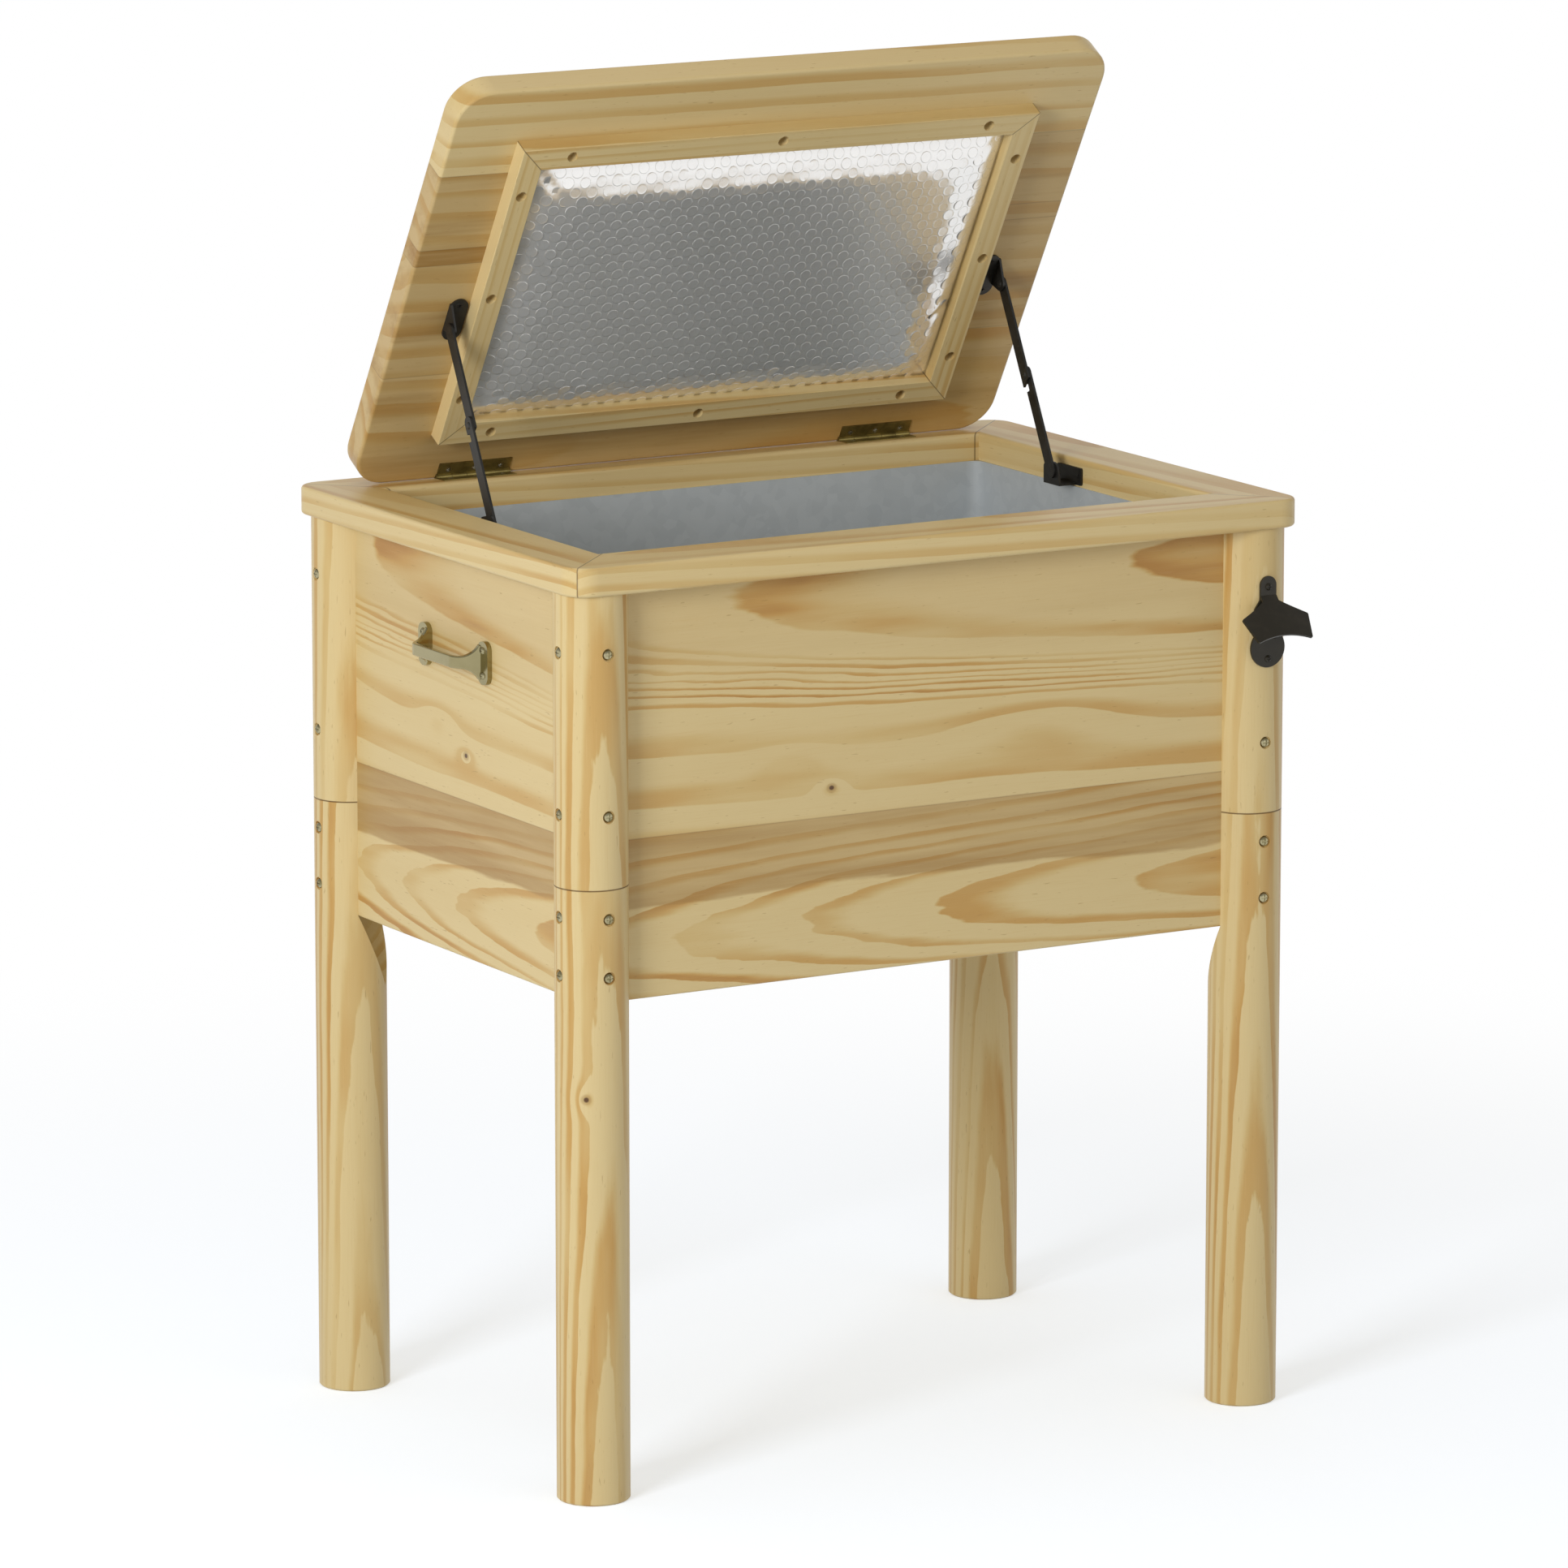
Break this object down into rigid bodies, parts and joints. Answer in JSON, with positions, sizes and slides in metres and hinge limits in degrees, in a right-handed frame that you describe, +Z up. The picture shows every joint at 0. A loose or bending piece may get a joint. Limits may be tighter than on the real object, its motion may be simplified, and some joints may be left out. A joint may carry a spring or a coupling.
{
  "type": "patio cooler",
  "caption": "Wooden patio cooler on round legs, with a metal-lined box, a hinged lid on folding stays, side handles and a bottle opener.",
  "frame": {"origin": "on the floor, at the middle of the four legs", "axes": "+X to the right along the long front, +Y to the hinge side at the back, +Z up"},
  "size_m": [0.7134, 0.5292, 1.1702],
  "materials": {
    "panel_wood": "satin clear varnish",
    "inner_wood": "unfinished",
    "leg_wood": "satin clear varnish",
    "rim_wood": "satin clear varnish",
    "lid_wood": "satin clear varnish",
    "bar_wood": "satin clear varnish",
    "zinc": "dull blue-grey sheet",
    "foam": "light foam",
    "foil": "silver foil face",
    "drain_plastic": "moulded",
    "handle_metal": "polished",
    "hinge_brass": "aged",
    "screw_steel": "bright zinc",
    "black_metal": "satin black",
    "rivet_black": "satin black",
    "opener_black": "satin black"
  },
  "bodies": {
    "cabinet": {"front_panel": "panel_wood", "back_panel": "panel_wood", "left_panel": "panel_wood", "right_panel": "panel_wood", "floor_board": "inner_wood", "floor_cleats": "inner_wood", "upper_post_front_left": "leg_wood", "upper_post_front_right": "leg_wood", "upper_post_back_left": "leg_wood", "upper_post_back_right": "leg_wood", "lower_leg_front_left": "leg_wood", "lower_leg_front_right": "leg_wood", "lower_leg_back_left": "leg_wood", "lower_leg_back_right": "leg_wood", "leg_screws": "screw_steel", "rim_front": "rim_wood", "rim_right": "rim_wood", "rim_back": "rim_wood", "rim_left": "rim_wood", "rim_dowels": "inner_wood", "liner_tub": "zinc", "foam_jacket": "foam", "drain_spout": "drain_plastic", "drain_nut": "drain_plastic", "handle_left": "handle_metal", "handle_right": "handle_metal", "handle_screws": "screw_steel", "bottle_opener": "opener_black", "opener_screws": "opener_black", "hinge_rim_leaf_left": "hinge_brass", "hinge_rim_leaf_right": "hinge_brass", "hinge_rim_screws": "screw_steel", "hinge_pins": "hinge_brass", "stay_rim_bracket_left": "black_metal", "stay_rim_bracket_right": "black_metal", "stay_rim_rivets": "rivet_black", "stay_rim_screws": "black_metal"},
    "lid": {"lid_board": "lid_wood", "frame_bar_front": "bar_wood", "frame_bar_right": "bar_wood", "frame_bar_rear": "bar_wood", "frame_bar_left": "bar_wood", "frame_screws": "screw_steel", "foil_pad": "foil", "hinge_lid_leaf_left": "hinge_brass", "hinge_lid_leaf_right": "hinge_brass", "hinge_lid_screws": "screw_steel", "stay_lid_bracket_left": "black_metal", "stay_lid_bracket_right": "black_metal", "stay_lid_rivets": "rivet_black", "stay_lid_screws": "black_metal"},
    "lower_link_left": {"stay_lower_link_left": "black_metal", "stay_elbow_lower_half_left": "rivet_black"},
    "upper_link_left": {"stay_upper_link_left": "black_metal", "stay_elbow_upper_half_left": "rivet_black"},
    "lower_link_right": {"stay_lower_link_right": "black_metal", "stay_elbow_lower_half_right": "rivet_black"},
    "upper_link_right": {"stay_upper_link_right": "black_metal", "stay_elbow_upper_half_right": "rivet_black"},
    "drain_cap": {"drain_cap": "drain_plastic"}
  },
  "joints": [
    {"name": "lid_hinge", "type": "hinge", "parent": "cabinet", "child": "lid", "pos_m": [0, 0.2109, 0.79815], "axis": [1, 0, 0], "range_deg": [0, 59.8]},
    {"name": "lower_link_left_pivot", "type": "hinge", "parent": "cabinet", "child": "lower_link_left", "pos_m": [0, 0.0334, 0.78615], "axis": [1, 0, 0], "range_deg": [-63.12, 0]},
    {"name": "upper_link_left_pivot", "type": "hinge", "parent": "lid", "child": "upper_link_left", "pos_m": [0, 0.113, 0.9425], "axis": [1, 0, 0], "range_deg": [0, 57.28]},
    {"name": "lower_link_right_pivot", "type": "hinge", "parent": "cabinet", "child": "lower_link_right", "pos_m": [0, 0.0334, 0.78615], "axis": [1, 0, 0], "range_deg": [-63.12, 0]},
    {"name": "upper_link_right_pivot", "type": "hinge", "parent": "lid", "child": "upper_link_right", "pos_m": [0, 0.113, 0.9425], "axis": [1, 0, 0], "range_deg": [0, 57.28]},
    {"name": "drain_cap_turn", "type": "hinge", "parent": "cabinet", "child": "drain_cap", "pos_m": [0.2, 0.105, 0.4], "axis": [0, 0, 1], "range_deg": [0, 90]}
  ],
  "couplings": [
    {"joint": "lower_link_left_pivot", "follows": "lid_hinge", "ratio": -1.0538},
    {"joint": "upper_link_left_pivot", "follows": "lid_hinge", "ratio": 0.95623},
    {"joint": "lower_link_right_pivot", "follows": "lid_hinge", "ratio": -1.0538},
    {"joint": "upper_link_right_pivot", "follows": "lid_hinge", "ratio": 0.95623}
  ]
}
